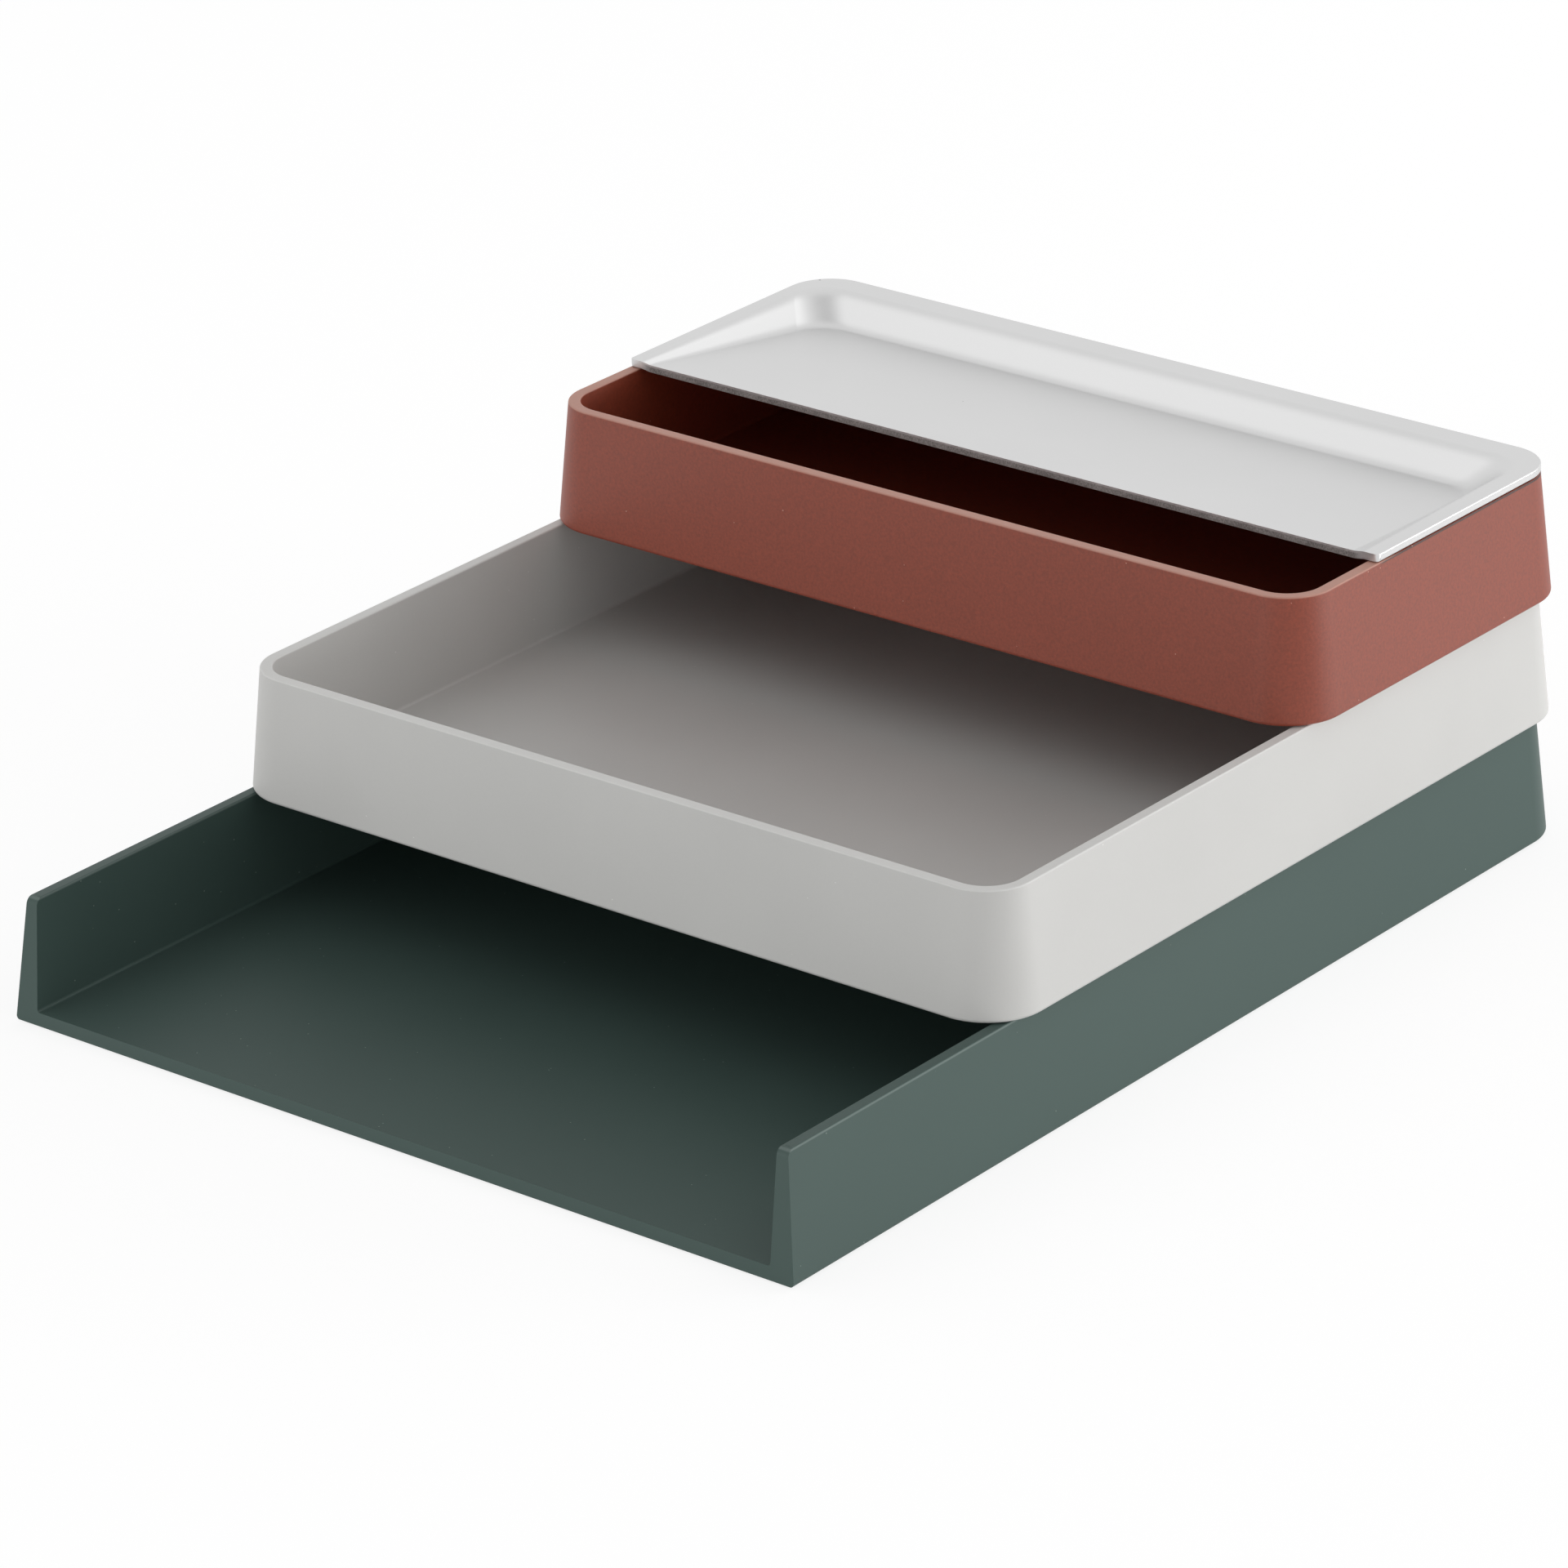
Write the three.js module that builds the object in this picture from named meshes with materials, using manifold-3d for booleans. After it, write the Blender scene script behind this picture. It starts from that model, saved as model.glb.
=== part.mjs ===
// Stacking desk tray: an open-fronted letter tray, a shorter document tray on its
// rim, a short box on top of that, and a dished metal lid over the back of the box.
// Millimetres, +Z up, the open front faces -Y. The origin is under the middle of
// the letter tray, on the surface that its feet stand on.

import * as THREE from "three";
import { mergeVertices } from "three/addons/utils/BufferGeometryUtils.js";
import Module from "manifold-3d";

const wasm = await Module();
wasm.setup();

// Outline and height that all the trays share, so that any of them sits on another
const trayWidth = 246;
const trayHeight = 33.1;
const cornerRadius = 16;
const draft = 3.2;

// Front to back, measured along the foot of each tray
const letterTrayDepth = 325;
const documentTrayDepth = 245;
const boxDepth = 122;
const lidDepth = 82;

// Section of a moulded wall
const rimThickness = 3.3;
const rimRounding = 0.45;
const innerLean = 0.5;
const floorThickness = 3.5;
const floorFillet = 0.8;
const footRounding = 1;
const wallEndRounding = 2.2;

// Step under each upper tray that drops between the walls of the tray below
const nestDepth = 1.6;
const nestPlay = 0.7;
const nestTaper = 0.5;
const seatGap = 0.3;

// Rubber feet, set in round pockets in the underside
const footDiameter = 10;
const footHeight = 1.2;
const footStandsOut = 0.5;
const footPocketPlay = 0.3;
const footEdgeRounding = 0.3;
const footInset = 26;

// Pressed metal lid: a flat flange round a dish whose floor falls towards the back.
// The dish is frontDip deep where it is cut open and deepens by floorFall per mm. Its
// sloping sides are slopeRun wide, and slopeSpread wider for each mm that they go
// down. They bend over bendShare of that width at the top and again at the foot.
const sheetThickness = 2;
const sheetEdgeRounding = 0.3;
const flangeWidth = 3.7;
const backFlangeWidth = 7;
const dishCornerRadius = 10;
const lidFrontRounding = 1.4;
const frontDip = 0.45;
const floorFall = 0.1;
const slopeRun = 3.5;
const slopeSpread = 1.15;
const bendShare = 1 / 3;

// How finely the curves are cut
const cornerSteps = 9;
const arcSteps = 2;
const bendSteps = 6;
const footSides = 24;
const footEdgeSteps = 1;

const backEdge = letterTrayDepth / 2;
const wallLean = draft / trayHeight;
const rimInset = draft + rimThickness;
const nestInset = rimInset + nestPlay;
const stackPitch = trayHeight + seatGap;

const letterGreen = new THREE.MeshStandardMaterial({ color: 0x4f635c, roughness: 0.72, metalness: 0 });
const documentGrey = new THREE.MeshStandardMaterial({ color: 0xc9c8c4, roughness: 0.7, metalness: 0 });
const boxRed = new THREE.MeshStandardMaterial({ color: 0x94503f, roughness: 0.72, metalness: 0 });
const blastedMetal = new THREE.MeshStandardMaterial({ color: 0xc8c9ca, roughness: 0.45, metalness: 1 });
const footRubber = new THREE.MeshStandardMaterial({ color: 0x2b2c2d, roughness: 0.9, metalness: 0 });

// The steps round a rounded rectangle, counter-clockwise seen from above, with widthAt
// giving its width at each distance back. Each step has a place on the edge and the
// direction that points straight out of it.
function roundedOutline(widthAt, front, back, radius) {
  const steps = [];
  for (const [side, centreY, start] of [
    [1, back - radius, 0],
    [-1, back - radius, 90],
    [-1, front + radius, 180],
    [1, front + radius, 270],
  ]) {
    const centre = new THREE.Vector2(side * (widthAt(centreY) / 2 - radius), centreY);
    for (let step = 0; step <= cornerSteps; step += 1) {
      const angle = THREE.MathUtils.degToRad(start + (90 * step) / cornerSteps);
      const outward = new THREE.Vector2(Math.cos(angle), Math.sin(angle));
      steps.push({ place: centre.clone().addScaledVector(outward, radius), outward });
    }
  }
  return steps;
}

// Moves an outline straight in by an inset, at one height.
function ringAt(outline, inset, height) {
  return outline.map(({ place, outward }) => {
    const moved = place.clone().addScaledVector(outward, -inset);
    return new THREE.Vector3(moved.x, moved.y, height);
  });
}

// Closed body through a series of rings, from the middle of its underside, out, up
// and over the rim, and in again to the middle of its floor.
function bodyThroughRings(rings) {
  const count = rings[0].length;
  const points = rings.flat();
  const faces = [];
  for (let ring = 0; ring < rings.length - 1; ring += 1) {
    for (let step = 0; step < count; step += 1) {
      const next = (step + 1) % count;
      const low = ring * count;
      const high = low + count;
      faces.push(low + step, low + next, high + next);
      faces.push(low + step, high + next, high + step);
    }
  }
  const middleOf = (ring) => {
    const sum = ring.reduce((total, point) => total.add(point), new THREE.Vector3());
    return sum.divideScalar(count);
  };
  const underside = points.push(middleOf(rings[0])) - 1;
  const floor = points.push(middleOf(rings.at(-1))) - 1;
  const lastRing = (rings.length - 1) * count;
  for (let step = 0; step < count; step += 1) {
    const next = (step + 1) % count;
    faces.push(underside, next, step);
    faces.push(floor, lastRing + step, lastRing + next);
  }
  const geometry = new THREE.BufferGeometry().setFromPoints(points);
  geometry.setIndex(faces);
  return geometry;
}

// Turns a closed geometry into a solid that can be cut.
function solidFrom(geometry) {
  const bare = geometry.clone();
  bare.deleteAttribute("normal");
  bare.deleteAttribute("uv");
  const merged = mergeVertices(bare, 1e-4);
  return new wasm.Manifold(new wasm.Mesh({
    numProp: 3,
    vertProperties: Float32Array.from(merged.attributes.position.array),
    triVerts: Uint32Array.from(merged.index.array),
  }));
}

// Turns a cut solid back into a geometry.
function geometryFrom(solid) {
  const mesh = solid.getMesh();
  const geometry = new THREE.BufferGeometry();
  const places = new THREE.BufferAttribute(Float32Array.from(mesh.vertProperties), mesh.numProp);
  geometry.setAttribute("position", places);
  geometry.setIndex(Array.from(mesh.triVerts));
  geometry.computeVertexNormals();
  return geometry;
}

function namedMesh(name, geometry, material) {
  const mesh = new THREE.Mesh(geometry, material);
  mesh.name = name;
  return mesh;
}

// Section of a tray's wall and floor, as inset from the outline against height: out
// along the underside, up the leaning outer face, over the rim and down to the floor.
function wallSection(hasNest) {
  const section = new THREE.Path();
  section.moveTo(nestInset + nestTaper, hasNest ? -nestDepth : 0);
  section.lineTo(nestInset, 0);
  section.absarc(footRounding, footRounding, footRounding, -Math.PI / 2, -Math.PI, true);
  const rimLevel = trayHeight - rimRounding;
  section.absarc(draft + rimRounding, rimLevel, rimRounding, Math.PI, Math.PI / 2, true);
  section.absarc(rimInset - rimRounding, rimLevel, rimRounding, Math.PI / 2, 0, true);
  const filletInset = rimInset + innerLean + floorFillet;
  const filletLevel = floorThickness + floorFillet;
  section.absarc(filletInset, filletLevel, floorFillet, Math.PI, 1.5 * Math.PI, false);
  return section.getPoints(arcSteps);
}

// Where the four feet of a tray stand.
function footPlaces(front) {
  const places = [];
  for (const [row, y] of [["front", front + footInset], ["rear", backEdge - footInset]]) {
    for (const [side, sign] of [["left", -1], ["right", 1]]) {
      places.push({ name: `${row}_${side}`, x: sign * (trayWidth / 2 - footInset), y });
    }
  }
  return places;
}

// One rubber foot, with its face on the desk at height 0 and a rounded lower edge.
function footGeometry() {
  const radius = footDiameter / 2;
  const rounding = footEdgeRounding;
  const edge = new THREE.Path().absarc(radius - rounding, rounding, rounding, -Math.PI / 2, 0, false);
  const outline = [
    new THREE.Vector2(0, 0),
    ...edge.getPoints(footEdgeSteps),
    new THREE.Vector2(radius, footHeight),
    new THREE.Vector2(0, footHeight),
  ];
  return new THREE.LatheGeometry(outline, footSides).rotateX(Math.PI / 2);
}

// The round pocket that a foot is set in.
function footPocket({ x, y }, bottom) {
  const radius = footDiameter / 2 + footPocketPlay;
  const pocket = new THREE.CylinderGeometry(radius, radius, footHeight, footSides);
  return pocket.rotateX(Math.PI / 2).translate(x, y, bottom + footHeight / 2);
}

// The block that takes the front off the letter tray. It leaves wall ends that lean
// back as much as the outer walls lean in, and that turn over into the rim.
function openFrontCut(front, mouldedFront) {
  const margin = cornerRadius;
  const lean = Math.atan(wallLean);
  const frontAt = (height) => front + wallLean * height;
  const turnHeight = trayHeight - wallEndRounding * (1 - Math.sin(lean));
  const turnCentre = frontAt(turnHeight) + wallEndRounding * Math.cos(lean);
  const turnLevel = trayHeight - wallEndRounding;
  const section = new THREE.Shape();
  section.moveTo(mouldedFront - margin, -margin);
  section.lineTo(frontAt(-margin), -margin);
  section.absarc(turnCentre, turnLevel, wallEndRounding, Math.PI - lean, Math.PI / 2, true);
  section.lineTo(turnCentre, trayHeight + margin);
  section.lineTo(mouldedFront - margin, trayHeight + margin);
  const block = new THREE.ExtrudeGeometry(section, {
    depth: trayWidth + 2 * margin,
    curveSegments: arcSteps,
    bevelEnabled: false,
  });
  block.rotateX(Math.PI / 2);
  block.rotateZ(Math.PI / 2);
  return block.translate(-trayWidth / 2 - margin, 0, 0);
}

// A moulded tray with its feet, its outer walls standing at height 0. An open-fronted
// one is a longer closed tray with its front cut away.
function mouldedTray(name, depth, material, { hasNest = false, hasOpenFront = false }) {
  const tray = new THREE.Group();
  const front = backEdge - depth;
  const mouldedFront = hasOpenFront ? front - 2 * cornerRadius : front;
  const outline = roundedOutline(() => trayWidth, mouldedFront, backEdge, cornerRadius);
  const rings = wallSection(hasNest).map((point) => ringAt(outline, point.x, point.y));
  let solid = solidFrom(bodyThroughRings(rings));
  if (hasOpenFront) {
    solid = solid.subtract(solidFrom(openFrontCut(front, mouldedFront)));
  }
  const footFace = (hasNest ? -nestDepth : 0) - footStandsOut;
  for (const place of footPlaces(front)) {
    solid = solid.subtract(solidFrom(footPocket(place, footFace)));
    const foot = namedMesh(`${name}_foot_${place.name}`, footGeometry(), footRubber);
    foot.position.set(place.x, place.y, footFace);
    tray.add(foot);
  }
  tray.add(namedMesh(name, geometryFrom(solid), material));
  return tray;
}

// The side of the dish at a share of the way in from the flange: the share of its
// height that it has come down, and how steep it is there. It is straight between
// the bend at its top and the bend at its foot.
function slopeAt(along) {
  const straight = 1 / (1 - bendShare);
  const steepness = straight * Math.min(1, along / bendShare, (1 - along) / bendShare);
  if (along < bendShare) {
    return { down: (steepness * along) / 2, steepness };
  }
  if (along > 1 - bendShare) {
    return { down: 1 - (steepness * (1 - along)) / 2, steepness };
  }
  return { down: straight * (along - bendShare / 2), steepness };
}

// The upper and lower face of the dish as one ring each, at a share of the way from
// the flange to the dish floor. The floor is one plane that falls towards the back.
function dishRings(lidWidth, front, back, pressedFront, along) {
  const floorDepthAt = (y) => frontDip + floorFall * (y - front);
  const runAt = (y) => slopeRun + slopeSpread * floorDepthAt(y);
  const widthAt = (y) => lidWidth - 2 * (flangeWidth + along * runAt(y));
  const dishBack = (back - backFlangeWidth - along * runAt(0)) / (1 + along * slopeSpread * floorFall);
  const outline = roundedOutline(widthAt, pressedFront + flangeWidth, dishBack, dishCornerRadius);
  const { down, steepness } = slopeAt(along);
  const upper = outline.map(({ place }) => {
    return new THREE.Vector3(place.x, place.y, sheetThickness - down * floorDepthAt(place.y));
  });
  const lower = upper.map(({ x, y, z }) => {
    const sheetAcross = sheetThickness * Math.hypot(1, (steepness * floorDepthAt(y)) / runAt(y));
    return new THREE.Vector3(x, y, z - sheetAcross);
  });
  return { upper, lower };
}

// The block that a pressing is trimmed to, which takes its front off square and
// rounds the two corners there.
function lidTrim(width, front, back) {
  const margin = flangeWidth;
  const turn = front + lidFrontRounding;
  const plan = new THREE.Shape();
  plan.moveTo(-width / 2 - margin, turn);
  plan.lineTo(-width / 2, turn);
  plan.absarc(lidFrontRounding - width / 2, turn, lidFrontRounding, Math.PI, 1.5 * Math.PI, false);
  plan.absarc(width / 2 - lidFrontRounding, turn, lidFrontRounding, 1.5 * Math.PI, 2 * Math.PI, false);
  plan.lineTo(width / 2 + margin, turn);
  plan.lineTo(width / 2 + margin, back + margin);
  plan.lineTo(-width / 2 - margin, back + margin);
  const block = new THREE.ExtrudeGeometry(plan, {
    depth: 2 * trayHeight,
    curveSegments: arcSteps,
    bevelEnabled: false,
  });
  return block.translate(0, 0, -trayHeight);
}

// The lid, with the underside of its flange at height 0. It is pressed as a whole
// dish, and then trimmed.
function lidGeometry() {
  const width = trayWidth - 2 * draft;
  const back = backEdge - draft;
  const front = back - lidDepth;
  const pressedFront = front - flangeWidth - dishCornerRadius;
  const undersides = [];
  const topsides = [];
  for (let step = 0; step <= bendSteps; step += 1) {
    const { upper, lower } = dishRings(width, front, back, pressedFront, step / bendSteps);
    topsides.push(upper);
    undersides.unshift(lower);
  }
  const rounding = sheetEdgeRounding;
  const edge = new THREE.Path()
    .absarc(rounding, rounding, rounding, -Math.PI / 2, -Math.PI, true)
    .absarc(rounding, sheetThickness - rounding, rounding, Math.PI, Math.PI / 2, true);
  const outline = roundedOutline(() => width, pressedFront, back, cornerRadius - draft);
  const edgeRings = edge.getPoints(arcSteps).map((point) => ringAt(outline, point.x, point.y));
  const pressing = solidFrom(bodyThroughRings([...undersides, ...edgeRings, ...topsides]));
  return geometryFrom(pressing.intersect(solidFrom(lidTrim(width, front, back))));
}

const letterTray = mouldedTray("letter_tray", letterTrayDepth, letterGreen, { hasOpenFront: true });
const documentTray = mouldedTray("document_tray", documentTrayDepth, documentGrey, { hasNest: true });
const topBox = mouldedTray("top_box", boxDepth, boxRed, { hasNest: true });
const lid = namedMesh("lid", lidGeometry(), blastedMetal);

const stack = new THREE.Group();
[letterTray, documentTray, topBox, lid].forEach((layer, level) => {
  layer.position.z = footStandsOut + level * stackPitch;
  stack.add(layer);
});

export default stack;
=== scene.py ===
"""The looks of a stacking desk tray: three moulded trays and a pressed metal lid.

Sizes are in millimetres and turn into metres through MM. Only the lamps and the camera
are placed in metres. The frame is the CAD part's: +Z up, the open front towards -Y, the
origin on the desk under the letter tray's middle.
"""

from math import atan, cos, degrees, hypot, pi, radians, sin

import bmesh
import bpy
from mathutils import Matrix, Vector


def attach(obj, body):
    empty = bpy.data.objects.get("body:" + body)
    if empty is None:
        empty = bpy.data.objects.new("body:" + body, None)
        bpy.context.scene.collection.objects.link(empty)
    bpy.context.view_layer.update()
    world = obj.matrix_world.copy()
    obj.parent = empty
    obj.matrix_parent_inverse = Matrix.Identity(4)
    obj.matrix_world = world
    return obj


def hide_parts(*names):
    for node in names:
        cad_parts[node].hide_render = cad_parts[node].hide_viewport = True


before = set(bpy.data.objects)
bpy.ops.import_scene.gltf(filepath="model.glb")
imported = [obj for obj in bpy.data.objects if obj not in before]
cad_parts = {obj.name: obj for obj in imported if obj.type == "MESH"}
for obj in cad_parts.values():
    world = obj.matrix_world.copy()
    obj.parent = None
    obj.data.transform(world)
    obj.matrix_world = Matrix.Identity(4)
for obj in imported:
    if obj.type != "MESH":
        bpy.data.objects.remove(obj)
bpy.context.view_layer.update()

MM = 0.001

# Outline, height and wall section that the trays share
TRAY_WIDTH = 246
TRAY_HEIGHT = 33.1
CORNER_RADIUS = 16
DRAFT = 3.2
RIM_THICKNESS = 3.3
RIM_ROUNDING = 0.45
INNER_LEAN = 0.5
FLOOR_THICKNESS = 3.5
FLOOR_FILLET = 0.8
FOOT_ROUNDING = 1
WALL_END_ROUNDING = 2.2
EDGE_SOFTENING = 0.25

# How the layers stack, from the letter tray on layer 0 to the lid on layer 3
LETTER_TRAY_DEPTH = 325
DOCUMENT_TRAY_DEPTH = 245
BOX_DEPTH = 122
BACK_EDGE = LETTER_TRAY_DEPTH / 2
SEAT_GAP = 0.3
STACK_PITCH = TRAY_HEIGHT + SEAT_GAP
NEST_DEPTH = 1.6
NEST_PLAY = 0.7
NEST_TAPER = 0.5
LID_LAYER = 3

# Rubber feet and their pockets
FOOT_DIAMETER = 10
FOOT_HEIGHT = 1.2
FOOT_STANDS_OUT = 0.5
FOOT_POCKET_PLAY = 0.3
FOOT_EDGE_ROUNDING = 0.3
FOOT_INSET = 26

# Pressed lid. Its dish is FRONT_DIP deep where it is cut open and deepens by
# FLOOR_FALL per mm. The dish's sides are SLOPE_RUN wide, and SLOPE_SPREAD wider for
# each mm that they go down. Each side bends over BEND_SHARE of its way at either end.
LID_DEPTH = 82
SHEET_THICKNESS = 2
SHEET_EDGE_ROUNDING = 0.3
SHEET_EDGE_SOFTENING = 0.2
FLANGE_WIDTH = 3.7
BACK_FLANGE_WIDTH = 7
DISH_CORNER_RADIUS = 10
LID_FRONT_ROUNDING = 1.4
FRONT_DIP = 0.45
FLOOR_FALL = 0.1
SLOPE_RUN = 3.5
SLOPE_SPREAD = 1.15
BEND_SHARE = 1 / 3

# How finely curves are cut
CORNER_STEPS = 28
ARC_STEPS = 8
BEND_STEPS = 28
POCKET_STEPS = 64
FOOT_STEPS = 48


class Signal:
    """A node's output, so that maths on it reads as a plain expression."""

    def __init__(self, graph, socket):
        self.graph = graph
        self.socket = socket

    def other_output(self, name):
        """Another output of the node that this one comes from."""
        return Signal(self.graph, self.socket.node.outputs[name])

    def _math(self, operation, first, second):
        return self.graph.node("ShaderNodeMath", {"operation": operation}, {0: first, 1: second})

    def __add__(self, other):
        return self._math("ADD", self, other)

    def __radd__(self, other):
        return self._math("ADD", other, self)

    def __sub__(self, other):
        return self._math("SUBTRACT", self, other)

    def __rsub__(self, other):
        return self._math("SUBTRACT", other, self)

    def __mul__(self, other):
        return self._math("MULTIPLY", self, other)

    def __rmul__(self, other):
        return self._math("MULTIPLY", other, self)

    def __truediv__(self, other):
        return self._math("DIVIDE", self, other)

    def __gt__(self, other):
        return self._math("GREATER_THAN", self, other)

    def __lt__(self, other):
        return self._math("LESS_THAN", self, other)

    def __or__(self, other):
        return self._math("MAXIMUM", self, other)


class Graph:
    """A node tree that nodes are added to by type, settings and inputs."""

    def __init__(self, tree):
        self.tree = tree

    def node(self, kind, settings=None, inputs=None, output=0):
        """One node, its settings made first. It comes back as one of its outputs."""
        node = self.tree.nodes.new(kind)
        for name, value in (settings or {}).items():
            setattr(node, name, value)
        for name, value in (inputs or {}).items():
            self.feed(node.inputs[name], value)
        return Signal(self, node.outputs[output]) if node.outputs else None

    def feed(self, socket, value):
        """Links a signal to an input, or sets the input to a plain value."""
        if isinstance(value, Signal):
            self.tree.links.new(value.socket, socket)
        else:
            socket.default_value = value

    def blend(self, share, first, second):
        """A colour that goes from the first to the second as share goes from 0 to 1."""
        return self.node("ShaderNodeMix", {"data_type": "RGBA"}, {0: share, 6: first, 7: second}, output=2)

    def scaled(self, vector, factor):
        return self.node("ShaderNodeVectorMath", {"operation": "SCALE"}, {0: vector, "Scale": factor})

    def coordinate(self, vector, axis):
        """A vector's x, y or z, for axis 0, 1 or 2."""
        return self.node("ShaderNodeSeparateXYZ", None, {0: vector}, output=axis)

    def place(self):
        """Where a point lies in its object, in metres."""
        return self.node("ShaderNodeTexCoord", output="Object")

    def ramp(self, value, low, high):
        """0 below low, 1 above high and smooth between them."""
        settings = {"interpolation_type": "SMOOTHSTEP"}
        return self.node("ShaderNodeMapRange", settings, {"Value": value, "From Min": low, "From Max": high})

    def noise(self, place, size, detail=2.0, roughness=0.5):
        """Noise between 0 and 1 whose lumps are size millimetres across."""
        inputs = {"Vector": place, "Scale": 1 / (size * MM), "Detail": detail, "Roughness": roughness}
        return self.node("ShaderNodeTexNoise", None, inputs)

    def specks(self, place, spacing, radius, share):
        """1 in round specks and 0 around them. Their places lie about spacing millimetres
        apart, and a share of the places is filled."""
        distance = self.node("ShaderNodeTexVoronoi", None, {"Vector": place, "Scale": 1 / (spacing * MM)})
        pick = self.node("ShaderNodeSeparateColor", None, {0: distance.other_output("Color")})
        return (distance < radius / spacing) * (pick > 1 - share)

    def bump(self, height, depth, strength):
        """The direction of a surface that a height from 0 to 1 lifts by depth millimetres,
        at this strength."""
        inputs = {"Strength": strength, "Distance": depth * MM, "Height": height}
        return self.node("ShaderNodeBump", None, inputs)


def new_material(name):
    material = bpy.data.materials.new(name)
    material.use_nodes = True
    material.node_tree.nodes.clear()
    return material, Graph(material.node_tree)


def finish_surface(graph, inputs):
    """Ends a material in one Principled surface with these inputs."""
    surface = graph.node("ShaderNodeBsdfPrincipled", None, inputs)
    graph.node("ShaderNodeOutputMaterial", None, {"Surface": surface})


def underside_of(layer):
    """How high the walls or the flange of a layer start above the desk."""
    return FOOT_STANDS_OUT + layer * STACK_PITCH


def moulded_plastic(name, layer, covered_from, colour, pale, rim_highlight, edge_highlight, seam_shade_strength,
                    gloss, roughness, grain_size, grain_height, grain_contrast, speck_share):
    """Plastic from a spark-eroded mould: fine grain, faint clouds and a few pale specks.
    Its rim's top and the rim's two edges carry a painted highlight, blended towards pale
    where they are bare, and painted shade may darken the edges where the next layer covers them."""
    rim = underside_of(layer) + TRAY_HEIGHT
    bare_fade = 12
    seam_shade_fade = 3
    # The depths below the top of the rim between which its flat and its edges fade in,
    # and its edges fade out again
    flat_from = (RIM_ROUNDING, 0.05)
    edge_from = (0.75, 0.4)
    edge_to = (0.2, 0.03)
    cloud_size = 45
    cloud_contrast = 0.10
    grain_roughness = 0.12
    cloud_roughness = 0.05
    speck_strength = 0.6
    # Noise that breaks up the painted highlight on the rim
    highlight_breakup_size = 6
    highlight_breakup_contrast = 0.3

    material, graph = new_material(name)
    place = graph.place()
    height = graph.coordinate(place, 2)
    along = graph.coordinate(place, 1)

    def fade_up(low, high):
        return graph.ramp(height, (rim - low) * MM, (rim - high) * MM)

    bare = 1 - graph.ramp(along, covered_from * MM, (covered_from + bare_fade) * MM)
    # Painted highlight: where bare, the rim's flat top is lightened towards pale, standing in for the light
    # that falls on it
    lit_rim_top = fade_up(*flat_from) * bare
    edge = fade_up(*edge_from) - fade_up(*edge_to)
    # Painted shade: the rim's edges darken where the next layer covers them, standing in for the shade in
    # the seam between the layers
    painted_seam_shade = edge * graph.ramp(along, covered_from * MM, (covered_from + seam_shade_fade) * MM)
    grain = graph.noise(place, grain_size, detail=3.0, roughness=0.6)
    cloud = graph.noise(place, cloud_size, detail=2.0)
    mottled = 1.0 + grain_contrast * (grain - 0.5) + cloud_contrast * (cloud - 0.5)
    # The colour carries the painted shade at the covered seam
    tinted = graph.scaled(colour, mottled * (1 - seam_shade_strength * painted_seam_shade))
    speck = graph.specks(place, spacing=4, radius=0.18, share=speck_share)
    highlight_breakup = graph.noise(place, highlight_breakup_size, detail=4.0, roughness=0.65)
    # The painted highlight on the rim's top and its bare edges, broken up by noise
    painted_highlight = (lit_rim_top * rim_highlight | edge * bare * edge_highlight) * (1.0 + highlight_breakup_contrast * (highlight_breakup - 0.5))
    finish_surface(graph, {
        "Base Color": graph.blend(painted_highlight | speck * speck_strength, tinted, (*pale, 1)),
        "Specular IOR Level": gloss,
        "Roughness": roughness + grain_roughness * (grain - 0.5) + cloud_roughness * (cloud - 0.5),
        "Normal": graph.bump(grain, depth=grain_height, strength=0.6),
    })
    return material


def blasted_aluminium():
    """Aluminium sheet, bead-blasted and anodised, with a few dark pits."""
    metal = (0.655, 0.655, 0.655)
    pit_colour = (0.16, 0.15, 0.15, 1)
    pit_strength = 0.7
    contrast = 0.05
    roughness = 0.40
    grain_roughness = 0.10
    cloud_roughness = 0.05

    material, graph = new_material("blasted_aluminium")
    place = graph.place()
    grain = graph.noise(place, size=0.45, detail=3.0, roughness=0.65)
    cloud = graph.noise(place, size=30, detail=2.0)
    pit = graph.specks(place, spacing=16, radius=0.32, share=0.3)
    lightness = 1.0 + contrast * (grain - 0.5) + contrast * (cloud - 0.5)
    finish_surface(graph, {
        "Base Color": graph.blend(pit * pit_strength, graph.scaled(metal, lightness), pit_colour),
        "Metallic": 1.0,
        "Roughness": roughness + grain_roughness * (grain - 0.5) + cloud_roughness * (cloud - 0.5),
        "Normal": graph.bump(grain, depth=0.012, strength=0.5),
    })
    return material


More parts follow.
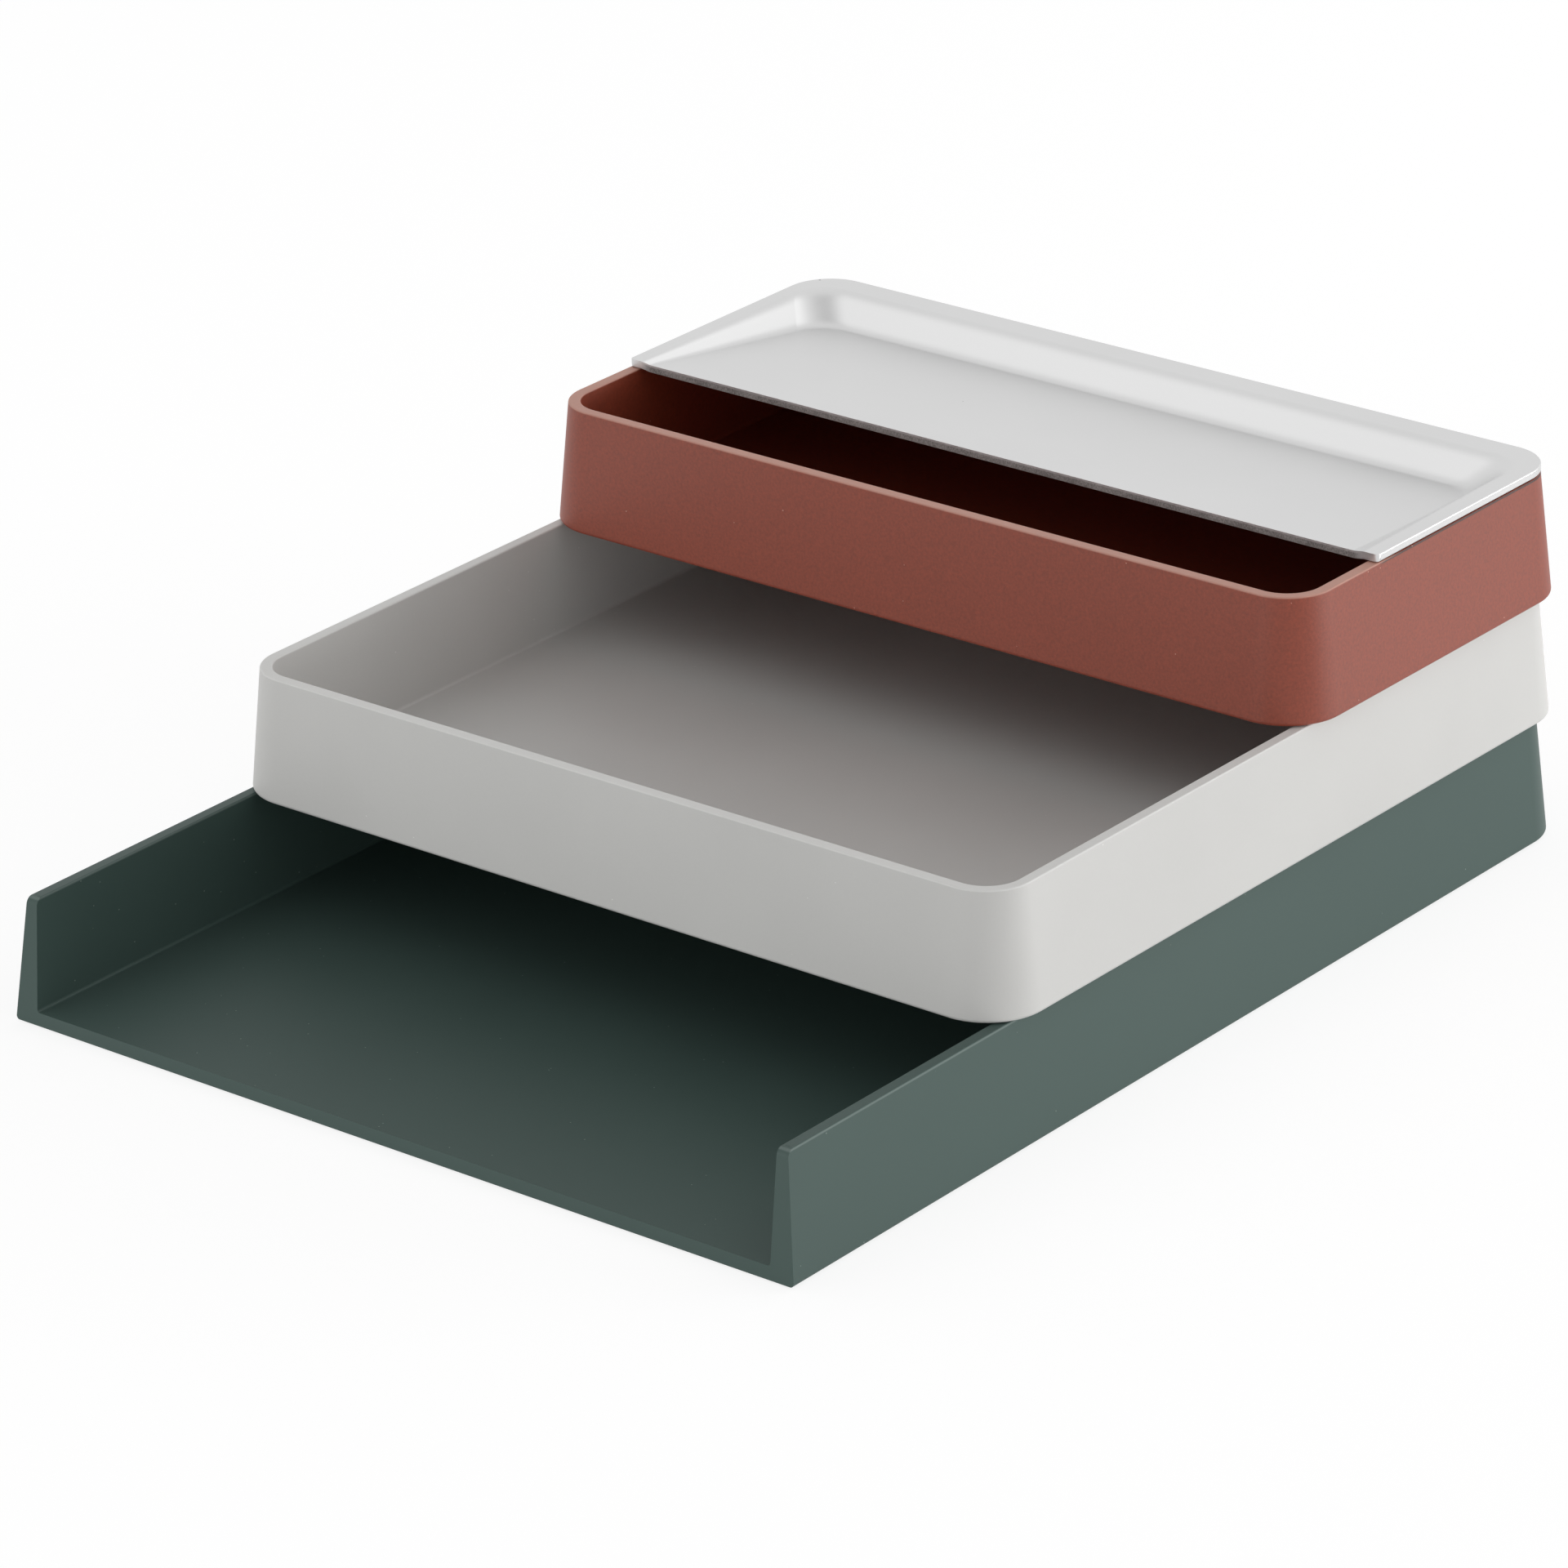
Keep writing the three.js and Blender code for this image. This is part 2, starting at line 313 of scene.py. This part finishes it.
def cut_aluminium():
    """The cut front edge of the sheet. It is dark, with fine drag marks, but for a bright
    line along its top and the ends of the flange, which are rubbed smooth."""
    flange_end = TRAY_WIDTH / 2 - DRAFT - FLANGE_WIDTH
    slope_foot = flange_end - SLOPE_RUN - SLOPE_SPREAD * FRONT_DIP
    top = underside_of(LID_LAYER) + SHEET_THICKNESS
    bright_to = 0.3
    dark_from = 0.65
    smooth_metal = (0.60, 0.60, 0.60, 1)
    dark_metal = (0.15, 0.138, 0.133, 1)
    scraped_metal = (0.34, 0.32, 0.31, 1)
    smooth_roughness = 0.42
    added_roughness = 0.2
    mark_stretch = (1.0, 1.0, 0.6)
    patch_contrast = 0.3

    material, graph = new_material("cut_aluminium")
    place = graph.place()
    sideways = graph.coordinate(place, 0)
    height = graph.coordinate(place, 2)
    from_middle = sideways | (0 - sideways)
    dished = 1 - graph.ramp(from_middle, slope_foot * MM, flange_end * MM)
    below_top = top * MM - height - FRONT_DIP * MM * dished
    rough = graph.ramp(below_top, bright_to * MM, dark_from * MM) * dished
    stretched = graph.node("ShaderNodeMapping", None, {"Vector": place, "Scale": mark_stretch})
    marks = graph.noise(stretched, size=0.35, detail=3.0, roughness=0.6)
    patches = graph.noise(place, size=5, detail=2.0)
    scraped = graph.ramp(marks + patch_contrast * (patches - 0.5), 0.3, 0.7)
    marked = graph.blend(scraped, dark_metal, scraped_metal)
    finish_surface(graph, {
        "Base Color": graph.blend(rough, smooth_metal, marked),
        "Metallic": 1.0 - 0.5 * rough,
        "Roughness": smooth_roughness + rough * (added_roughness + added_roughness * (marks - 0.5)),
        "Normal": graph.bump(marks, depth=0.05, strength=0.8),
    })
    return material


def foot_rubber():
    """Black rubber with patches of dust."""
    black = (0.018, 0.019, 0.020, 1)
    dust_colour = (0.06, 0.06, 0.06, 1)
    roughness = 0.82
    grain_roughness = 0.15

    material, graph = new_material("foot_rubber")
    place = graph.place()
    grain = graph.noise(place, size=0.3, detail=2.0)
    dust = graph.noise(place, size=2.5, detail=3.0)
    finish_surface(graph, {
        "Base Color": graph.blend(graph.ramp(dust, 0.5, 0.8), black, dust_colour),
        "Roughness": roughness + grain_roughness * (grain - 0.5),
        "Normal": graph.bump(grain, depth=0.02, strength=0.5),
    })
    return material


def arc(centre, radius, start, end):
    """Points on an arc from start to end, in degrees, both ends included."""
    turn = radians(end - start)
    return [
        (centre[0] + radius * cos(radians(start) + turn * step / ARC_STEPS),
         centre[1] + radius * sin(radians(start) + turn * step / ARC_STEPS))
        for step in range(ARC_STEPS + 1)
    ]


def wall_section(has_nest):
    """The moulded wall as inset from the outline against height, from under the floor,
    out, up, over the rim and down to the floor inside."""
    rim_inset = DRAFT + RIM_THICKNESS
    nest_inset = rim_inset + NEST_PLAY
    rim_level = TRAY_HEIGHT - RIM_ROUNDING
    fillet_inset = rim_inset + INNER_LEAN + FLOOR_FILLET
    return [
        (nest_inset + NEST_TAPER, -NEST_DEPTH if has_nest else 0),
        (nest_inset, 0),
        *arc((FOOT_ROUNDING, FOOT_ROUNDING), FOOT_ROUNDING, -90, -180),
        *arc((DRAFT + RIM_ROUNDING, rim_level), RIM_ROUNDING, 180, 90),
        *arc((rim_inset - RIM_ROUNDING, rim_level), RIM_ROUNDING, 90, 0),
        *arc((fillet_inset, FLOOR_THICKNESS + FLOOR_FILLET), FLOOR_FILLET, 180, 270),
    ]


def object_from(name, points, edges=(), faces=()):
    """An object in the scene whose mesh has these points, in millimetres."""
    mesh = bpy.data.meshes.new(name)
    mesh.from_pydata([Vector(point) * MM for point in points], edges, faces)
    piece = bpy.data.objects.new(name, mesh)
    bpy.context.scene.collection.objects.link(piece)
    return piece


def chain(points):
    """The edges that join points in a row."""
    return [(n, n + 1) for n in range(len(points) - 1)]


def new_tree(name, sockets):
    """A Geometry Nodes tree with these named inputs. It comes back as its graph, the
    identifier of each input, and each input and the geometry as signals."""
    tree = bpy.data.node_groups.new(name, "GeometryNodeTree")
    tree.interface.new_socket("Geometry", in_out="OUTPUT", socket_type="NodeSocketGeometry")
    tree.interface.new_socket("Geometry", in_out="INPUT", socket_type="NodeSocketGeometry")
    identifiers = {}
    for socket_name, kind in sockets.items():
        socket = tree.interface.new_socket(socket_name, in_out="INPUT", socket_type=kind)
        identifiers[socket_name] = socket.identifier
    graph = Graph(tree)
    geometry = graph.node("NodeGroupInput")
    given = {socket_name: geometry.other_output(socket_name) for socket_name in ["Geometry", *sockets]}
    return graph, identifiers, given


def end_tree(graph, geometry, material):
    real = graph.node("GeometryNodeRealizeInstances", None, {"Geometry": geometry})
    coated = graph.node("GeometryNodeSetMaterial", None, {"Geometry": real, "Material": material})
    graph.node("NodeGroupOutput", None, {0: coated})


def moulded_tray_tree():
    """Sweeps a wall section round a rounded rectangle and closes the floor and the
    underside, each with a fan of faces to its middle."""
    graph, identifiers, given = new_tree("Moulded tray", {
        "Width": "NodeSocketFloat",
        "Depth": "NodeSocketFloat",
        "Corner radius": "NodeSocketFloat",
        "Corner steps": "NodeSocketInt",
        "Back edge": "NodeSocketFloat",
        "Foot level": "NodeSocketFloat",
        "Material": "NodeSocketMaterial",
    })
    rectangle = graph.node("GeometryNodeCurvePrimitiveQuadrilateral", None, {
        "Width": given["Width"],
        "Height": given["Depth"],
    })
    outline = graph.node("GeometryNodeFilletCurve", {"mode": "POLY"}, {
        "Curve": rectangle,
        "Count": given["Corner steps"],
        "Radius": given["Corner radius"],
    })
    section = graph.node("GeometryNodeMeshToCurve", None, {"Mesh": given["Geometry"]})
    shell = graph.node("GeometryNodeCurveToMesh", None, {"Curve": outline, "Profile Curve": section})
    # The sweep's two open borders are its edges with a single face
    face_count = graph.node("GeometryNodeInputMeshEdgeNeighbors")
    spread = graph.node("GeometryNodeExtrudeMesh", {"mode": "EDGES"}, {
        "Mesh": shell,
        "Selection": face_count < 1.5,
        "Offset Scale": 0.0,
    })
    height = graph.coordinate(graph.node("GeometryNodeInputPosition"), 2)
    gathered = graph.node("GeometryNodeSetPosition", None, {
        "Geometry": spread,
        "Selection": spread.other_output("Top"),
        "Position": graph.node("ShaderNodeCombineXYZ", None, {2: height}),
    })
    closed = graph.node("GeometryNodeMergeByDistance", None, {
        "Geometry": gathered,
        "Distance": 0.01 * MM,
    })
    moved = graph.node("GeometryNodeTransform", None, {
        "Geometry": closed,
        "Translation": graph.node("ShaderNodeCombineXYZ", None, {
            1: given["Back edge"] - given["Depth"] / 2,
            2: given["Foot level"],
        }),
    })
    end_tree(graph, moved, given["Material"])
    return graph.tree, identifiers


def rubber_feet_tree():
    """Sets one foot at each corner of a rectangle under a tray."""
    graph, identifiers, given = new_tree("Rubber feet", {
        "Spacing across": "NodeSocketFloat",
        "Spacing along": "NodeSocketFloat",
        "Middle": "NodeSocketVector",
        "Material": "NodeSocketMaterial",
    })
    corners = graph.node("GeometryNodeMeshGrid", None, {
        "Size X": given["Spacing across"],
        "Size Y": given["Spacing along"],
        "Vertices X": 2,
        "Vertices Y": 2,
    })
    feet = graph.node("GeometryNodeInstanceOnPoints", None, {
        "Points": corners,
        "Instance": given["Geometry"],
    })
    moved = graph.node("GeometryNodeTransform", None, {"Geometry": feet, "Translation": given["Middle"]})
    end_tree(graph, moved, given["Material"])
    return graph.tree, identifiers


def grow(piece, tree, identifiers, values):
    """Puts a tree on a piece as a modifier, with a value for each named input."""
    modifier = piece.modifiers.new(tree.name, "NODES")
    modifier.node_group = tree
    for name, value in values.items():
        modifier[identifiers[name]] = value


def apply_modifiers(piece):
    """Gives a piece the mesh that its modifiers make, and takes them off."""
    bpy.context.view_layer.update()
    evaluated = piece.evaluated_get(bpy.context.evaluated_depsgraph_get())
    piece.data = bpy.data.meshes.new_from_object(evaluated)
    piece.modifiers.clear()


def face_outward(mesh):
    shaped = bmesh.new()
    shaped.from_mesh(mesh)
    bmesh.ops.recalc_face_normals(shaped, faces=shaped.faces)
    shaped.to_mesh(mesh)
    shaped.free()


def settle(piece):
    """Turns a piece and its modifiers into one plain mesh with outward faces, smooth
    but for its sharp edges."""
    sharp_above = 35
    apply_modifiers(piece)
    face_outward(piece.data)
    piece.data.name = piece.name
    piece.data.shade_smooth()
    piece.data.set_sharp_from_angle(angle=radians(sharp_above))
    weigh = piece.modifiers.new("Even shading", "WEIGHTED_NORMAL")
    weigh.keep_sharp = True
    apply_modifiers(piece)


def cut_away(piece, cutter):
    cut = piece.modifiers.new("Cut", "BOOLEAN")
    cut.operation = "DIFFERENCE"
    cut.solver = "EXACT"
    cut.object = cutter


def soften_edges(piece, width, angle=40):
    """Rounds the edges of a piece that turn by more than this angle, in degrees."""
    soften = piece.modifiers.new("Softened edges", "BEVEL")
    soften.width = width * MM
    soften.segments = 3
    soften.limit_method = "ANGLE"
    soften.angle_limit = radians(angle)


def prism(name, outline, axis, low, high):
    """A closed block with this outline in the plane across an axis, from low to high."""
    def along(point, place):
        across = list(point)
        across.insert(axis, place)
        return tuple(across)

    count = len(outline)
    points = [along(point, low) for point in outline] + [along(point, high) for point in outline]
    faces = [list(range(count)), list(range(count, 2 * count))]
    faces += [[n, (n + 1) % count, count + (n + 1) % count, count + n] for n in range(count)]
    block = object_from(name, points, faces=faces)
    face_outward(block.data)
    return block


def open_front_cutter(front, moulded_front, foot_level):
    """What comes off the front of the letter tray, so that the wall ends lean back as
    the walls lean in and turn over into the rim."""
    margin = CORNER_RADIUS
    lean = atan(DRAFT / TRAY_HEIGHT)

    def front_at(height):
        return front + DRAFT / TRAY_HEIGHT * height

    turn_height = TRAY_HEIGHT - WALL_END_ROUNDING * (1 - sin(lean))
    turn_centre = front_at(turn_height) + WALL_END_ROUNDING * cos(lean)
    turn = arc((turn_centre, TRAY_HEIGHT - WALL_END_ROUNDING), WALL_END_ROUNDING, 180 - degrees(lean), 90)
    outline = [
        (moulded_front - margin, -margin),
        (front_at(-margin), -margin),
        *turn,
        (turn_centre, TRAY_HEIGHT + margin),
        (moulded_front - margin, TRAY_HEIGHT + margin),
    ]
    raised = [(y, z + foot_level) for y, z in outline]
    return prism("open_front_cutter", raised, axis=0, low=-TRAY_WIDTH, high=TRAY_WIDTH)


def foot_pocket_cutter(front, back, bottom):
    """The four round pockets that a tray's feet are set in."""
    radius = FOOT_DIAMETER / 2 + FOOT_POCKET_PLAY
    shaped = bmesh.new()
    for x in (FOOT_INSET - TRAY_WIDTH / 2, TRAY_WIDTH / 2 - FOOT_INSET):
        for y in (front + FOOT_INSET, back - FOOT_INSET):
            bmesh.ops.create_cone(
                shaped,
                cap_ends=True,
                segments=POCKET_STEPS,
                radius1=radius * MM,
                radius2=radius * MM,
                depth=FOOT_HEIGHT * MM,
                matrix=Matrix.Translation(Vector((x, y, bottom + FOOT_HEIGHT / 2)) * MM),
            )
    cutter = object_from("foot_pocket_cutter", [])
    shaped.to_mesh(cutter.data)
    shaped.free()
    return cutter


def one_foot(name):
    """A turned rubber foot, its face at height 0."""
    radius = FOOT_DIAMETER / 2
    centre = (radius - FOOT_EDGE_ROUNDING, FOOT_EDGE_ROUNDING)
    outline = [(0, 0), *arc(centre, FOOT_EDGE_ROUNDING, -90, 0), (radius, FOOT_HEIGHT), (0, FOOT_HEIGHT)]
    piece = object_from(name, [(x, 0, z) for x, z in outline], edges=chain(outline))
    shaped = bmesh.new()
    shaped.from_mesh(piece.data)
    bmesh.ops.spin(
        shaped,
        geom=shaped.verts[:] + shaped.edges[:],
        axis=(0, 0, 1),
        angle=2 * pi,
        steps=FOOT_STEPS,
    )
    bmesh.ops.remove_doubles(shaped, verts=shaped.verts, dist=0.001 * MM)
    shaped.to_mesh(piece.data)
    shaped.free()
    face_outward(piece.data)
    return piece


def moulded_tray(name, depth, layer, material, has_nest=False, has_open_front=False):
    """One tray of the stack, with the pockets for its feet, and its feet."""
    foot_level = underside_of(layer)
    front = BACK_EDGE - depth
    moulded_front = front - 2 * CORNER_RADIUS if has_open_front else front
    section = wall_section(has_nest)
    tray = object_from(
        f"{name}_shell",
        [(-inset, -height, 0) for inset, height in section],
        edges=chain(section),
    )
    grow(tray, *tray_tree, {
        "Width": TRAY_WIDTH * MM,
        "Depth": (BACK_EDGE - moulded_front) * MM,
        "Corner radius": CORNER_RADIUS * MM,
        "Corner steps": CORNER_STEPS,
        "Back edge": BACK_EDGE * MM,
        "Foot level": foot_level * MM,
        "Material": material,
    })
    foot_face = foot_level - FOOT_STANDS_OUT - (NEST_DEPTH if has_nest else 0)
    cutters = [foot_pocket_cutter(front, BACK_EDGE, foot_face)]
    if has_open_front:
        cutters.append(open_front_cutter(front, moulded_front, foot_level))
    for cutter in cutters:
        cut_away(tray, cutter)
    soften_edges(tray, EDGE_SOFTENING)
    settle(tray)
    for cutter in cutters:
        bpy.data.objects.remove(cutter)
    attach(tray, name)
    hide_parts(name)

    feet = one_foot(f"{name}_feet")
    grow(feet, *feet_tree, {
        "Spacing across": (TRAY_WIDTH - 2 * FOOT_INSET) * MM,
        "Spacing along": (depth - 2 * FOOT_INSET) * MM,
        "Middle": (0, (front + BACK_EDGE) / 2 * MM, foot_face * MM),
        "Material": rubber,
    })
    settle(feet)
    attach(feet, name)
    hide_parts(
        *(f"{name}_foot_{row}_{side}" for row in ("front", "rear") for side in ("left", "right")),
    )
    return tray


def rounded_outline(width_at, front, back, radius):
    """Places on a rounded rectangle, counter-clockwise from above, each with the
    direction straight out of it. Its width may change with the distance back."""
    places = []
    for side, centre_y, start in (
        (1, back - radius, 0),
        (-1, back - radius, 90),
        (-1, front + radius, 180),
        (1, front + radius, 270),
    ):
        centre = Vector((side * (width_at(centre_y) / 2 - radius), centre_y))
        for step in range(CORNER_STEPS + 1):
            angle = radians(start + 90 * step / CORNER_STEPS)
            outward = Vector((cos(angle), sin(angle)))
            places.append((centre + radius * outward, outward))
    return places


def slope_at(share):
    """How far down the dish's side is at a share of the way in from the flange, and
    how steep: straight between the bend at its top and the bend at its foot."""
    straight = 1 / (1 - BEND_SHARE)
    steepness = straight * min(1, share / BEND_SHARE, (1 - share) / BEND_SHARE)
    if share < BEND_SHARE:
        return steepness * share / 2, steepness
    if share > 1 - BEND_SHARE:
        return 1 - steepness * (1 - share) / 2, steepness
    return straight * (share - BEND_SHARE / 2), steepness


def dish_rings(width, front, back, pressed_front, share):
    """The upper and lower face of the dish at a share of the way from its flange to
    its floor, which is one plane that falls towards the back."""
    def floor_depth_at(y):
        return FRONT_DIP + FLOOR_FALL * (y - front)

    def run_at(y):
        return SLOPE_RUN + SLOPE_SPREAD * floor_depth_at(y)

    # The y that lies share * run_at(y) in front of the back flange
    dish_back = (back - BACK_FLANGE_WIDTH - share * run_at(0)) / (1 + share * SLOPE_SPREAD * FLOOR_FALL)
    outline = rounded_outline(
        lambda y: width - 2 * (FLANGE_WIDTH + share * run_at(y)),
        pressed_front + FLANGE_WIDTH,
        dish_back,
        DISH_CORNER_RADIUS,
    )
    down, steepness = slope_at(share)
    upper = [(place.x, place.y, SHEET_THICKNESS - down * floor_depth_at(place.y)) for place, _ in outline]
    lower = [
        (x, y, z - SHEET_THICKNESS * hypot(1, steepness * floor_depth_at(y) / run_at(y)))
        for x, y, z in upper
    ]
    return upper, lower


def faces_between(ring_count, count):
    """The faces that join rings of count points each, and the two that close them."""
    faces = [
        [ring * count + n, ring * count + (n + 1) % count,
         (ring + 1) * count + (n + 1) % count, (ring + 1) * count + n]
        for ring in range(ring_count - 1)
        for n in range(count)
    ]
    faces.append(list(reversed(range(count))))
    faces.append([(ring_count - 1) * count + n for n in range(count)])
    return faces


def lid_sheet():
    """The lid: a pressed sheet whose dish is cut open at the front."""
    width = TRAY_WIDTH - 2 * DRAFT
    back = BACK_EDGE - DRAFT
    front = back - LID_DEPTH
    pressed_front = front - FLANGE_WIDTH - DISH_CORNER_RADIUS
    topsides = []
    undersides = []
    for step in range(BEND_STEPS + 1):
        upper, lower = dish_rings(width, front, back, pressed_front, step / BEND_STEPS)
        topsides.append(upper)
        undersides.insert(0, lower)
    rounding = SHEET_EDGE_ROUNDING
    edge = [
        *arc((rounding, rounding), rounding, -90, -180),
        *arc((rounding, SHEET_THICKNESS - rounding), rounding, 180, 90),
    ]
    outline = rounded_outline(lambda y: width, pressed_front, back, CORNER_RADIUS - DRAFT)
    edge_rings = [
        [(*(place - inset * outward), height) for place, outward in outline] for inset, height in edge
    ]
    rings = undersides + edge_rings + topsides
    foot_level = underside_of(LID_LAYER)
    points = [(x, y, z + foot_level) for ring in rings for x, y, z in ring]
    lid = object_from("lid_sheet", points, faces=faces_between(len(rings), len(outline)))
    cutter = lid_front_cutter(width, front, pressed_front, foot_level)
    cut_away(lid, cutter)
    soften_edges(lid, SHEET_EDGE_SOFTENING, angle=50)
    settle(lid)
    bpy.data.objects.remove(cutter)
    lid.data.materials.append(aluminium)
    lid.data.materials.append(cut_edge)
    # The cut edge's faces point forward and lie at the front
    facing = -0.9
    reach = front + 0.5
    for face in lid.data.polygons:
        if face.normal.y < facing and face.center.y < reach * MM:
            face.material_index = 1
    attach(lid, "lid")
    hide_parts("lid")


def lid_front_cutter(width, front, pressed_front, foot_level):
    """What comes off the front of the pressing, leaving two small corner radii."""
    margin = FLANGE_WIDTH
    turn = front + LID_FRONT_ROUNDING
    reach = width / 2
    left = arc((LID_FRONT_ROUNDING - reach, turn), LID_FRONT_ROUNDING, 180, 270)
    right = arc((reach - LID_FRONT_ROUNDING, turn), LID_FRONT_ROUNDING, 270, 360)
    outline = [
        (-reach - margin, turn),
        *left,
        *right,
        (reach + margin, turn),
        (reach + margin, pressed_front - margin),
        (-reach - margin, pressed_front - margin),
    ]
    return prism(
        "lid_front_cutter",
        outline,
        axis=2,
        low=foot_level - TRAY_HEIGHT,
        high=foot_level + TRAY_HEIGHT,
    )


def looked_at(graph):
    """1 along a line of sight, also one that metal or glass has turned, and 0 along the
    way that light takes to a surface."""
    straight = graph.node("ShaderNodeLightPath", output="Is Camera Ray")
    return straight | straight.other_output("Is Glossy Ray") | straight.other_output("Is Transmission Ray")


def paint_floor():
    """A plain white floor that keeps the tray's shadow."""
    reach = 4000
    # How much of what is seen of the floor is its own glow, and how bright its matt
    # white is under the lamps. Together they come to white.
    glow_share = 0.72
    lit_matt = 0.60

    material, graph = new_material("white_floor")
    matt = graph.node("ShaderNodeBsdfDiffuse", None, {"Color": (0.86, 0.86, 0.86, 1)})
    glow = graph.node("ShaderNodeEmission", None, {
        "Color": (1, 1, 1, 1),
        "Strength": (1 - (1 - glow_share) * lit_matt) / glow_share,
    })
    shown = graph.node("ShaderNodeMixShader", None, {0: glow_share, 1: matt, 2: glow})
    surface = graph.node("ShaderNodeMixShader", None, {0: looked_at(graph), 1: matt, 2: shown})
    graph.node("ShaderNodeOutputMaterial", None, {"Surface": surface})
    floor = object_from(
        "floor",
        [(-reach, -reach, 0), (reach, -reach, 0), (reach, reach, 0), (-reach, reach, 0)],
        faces=[(0, 1, 2, 3)],
    )
    floor.data.materials.append(material)


def light_world():
    """A white surround with a dimmer ceiling. As light it is soft, brighter low down and
    from the back."""
    overhead = 0.50
    horizon = 1.8
    overhead_from = 0.4
    from_back = 0.28
    ceiling_dimming = 0.45
    ceiling_edge = 0.93
    ceiling_middle = 0.999
    white = 1.0

    world = bpy.data.worlds.new("studio")
    world.use_nodes = True
    world.node_tree.nodes.clear()
    bpy.context.scene.world = world
    graph = Graph(world.node_tree)
    direction = graph.node("ShaderNodeTexCoord", output="Generated")
    back = graph.coordinate(direction, 1)
    up = graph.coordinate(direction, 2)
    level_light = horizon + (overhead - horizon) * graph.ramp(up, 0.0, overhead_from)
    light = level_light * (1.0 + from_back * back)
    ceiling = 1.0 - ceiling_dimming * graph.ramp(up, ceiling_edge, ceiling_middle)
    seen = looked_at(graph)
    sky = graph.node("ShaderNodeBackground", None, {
        "Color": (1, 1, 1, 1),
        "Strength": ceiling * (light * (1 - seen) + white * seen),
    })
    graph.node("ShaderNodeOutputWorld", None, {"Surface": sky})


def soft_box(name, place, target, size, power):
    """A rectangular lamp at a place, in metres, that shines at a target."""
    lamp = bpy.data.lights.new(name, "AREA")
    lamp.shape = "RECTANGLE"
    lamp.size, lamp.size_y = size
    lamp.energy = power
    holder = bpy.data.objects.new(name, lamp)
    bpy.context.scene.collection.objects.link(holder)
    holder.location = place
    holder.rotation_euler = (Vector(target) - Vector(place)).to_track_quat("-Z", "Y").to_euler()


def set_camera():
    """The photograph's viewpoint: a long lens, from the front right and above."""
    place = (1.1126, -1.3853, 0.8161)
    yaw = -0.6801
    pitch = 0.4128
    roll = -0.0223
    camera = bpy.data.cameras.new("camera")
    camera.sensor_width = 36
    camera.lens = 176.65
    camera.clip_start = 0.05
    camera.clip_end = 50
    holder = bpy.data.objects.new("camera", camera)
    bpy.context.scene.collection.objects.link(holder)
    turned = (
        Matrix.Rotation(-yaw, 4, "Z")
        @ Matrix.Rotation(pi / 2 - pitch, 4, "X")
        @ Matrix.Rotation(roll, 4, "Z")
    )
    holder.matrix_world = Matrix.Translation(place) @ turned
    bpy.context.scene.camera = holder
    bpy.context.scene.view_settings.view_transform = "Standard"


green = moulded_plastic(
    "green_plastic",
    layer=0,
    covered_from=BACK_EDGE - DOCUMENT_TRAY_DEPTH + CORNER_RADIUS,
    colour=(0.056, 0.092, 0.082),
    pale=(0.30, 0.36, 0.34),
    # Painted highlights on the rim's top and along its bare edges
    rim_highlight=0.02,
    edge_highlight=0.28,
    seam_shade_strength=0.0,
    gloss=0.3,
    roughness=0.50,
    grain_size=0.5,
    grain_height=0.010,
    grain_contrast=0.10,
    speck_share=0.4,
)
grey = moulded_plastic(
    "pale_grey_plastic",
    layer=1,
    covered_from=BACK_EDGE - BOX_DEPTH + CORNER_RADIUS,
    colour=(0.608, 0.604, 0.588),
    pale=(0.90, 0.90, 0.88),
    # A painted highlight on the bare rim's top
    rim_highlight=0.5,
    edge_highlight=0.0,
    seam_shade_strength=0.0,
    gloss=0.4,
    roughness=0.50,
    grain_size=0.5,
    grain_height=0.010,
    grain_contrast=0.04,
    speck_share=0.1,
)
red = moulded_plastic(
    "brick_red_plastic",
    layer=2,
    covered_from=BACK_EDGE - DRAFT - LID_DEPTH,
    colour=(0.250, 0.046, 0.021),
    pale=(0.66, 0.36, 0.28),
    # A painted highlight on the bare rim's top, and painted shade on the rim's edges under the lid
    rim_highlight=0.7,
    edge_highlight=0.0,
    seam_shade_strength=0.85,
    gloss=0.55,
    roughness=0.48,
    grain_size=0.8,
    grain_height=0.040,
    grain_contrast=0.8,
    speck_share=0.3,
)
aluminium = blasted_aluminium()
cut_edge = cut_aluminium()
rubber = foot_rubber()

tray_tree = moulded_tray_tree()
feet_tree = rubber_feet_tree()

letter_tray = moulded_tray("letter_tray", LETTER_TRAY_DEPTH, layer=0, material=green, has_open_front=True)
document_tray = moulded_tray("document_tray", DOCUMENT_TRAY_DEPTH, layer=1, material=grey, has_nest=True)
top_box = moulded_tray("top_box", BOX_DEPTH, layer=2, material=red, has_nest=True)
lid_sheet()

paint_floor()
light_world()
soft_box("back_light", place=(0.75, 1.6, 1.4), target=(0, 0.1, 0.08), size=(1.8, 1.5), power=4.5)
soft_box("left_light", place=(-1.3, -0.7, 1.7), target=(0, 0.1, 0.08), size=(1.8, 1.8), power=3)
soft_box("right_light", place=(1.75, 1.15, 0.24), target=(0, 0, 0.05), size=(1.4, 0.45), power=17)
soft_box("front_light", place=(-0.6, -2.1, 0.24), target=(0, 0, 0.05), size=(1.4, 0.45), power=7.5)
set_camera()
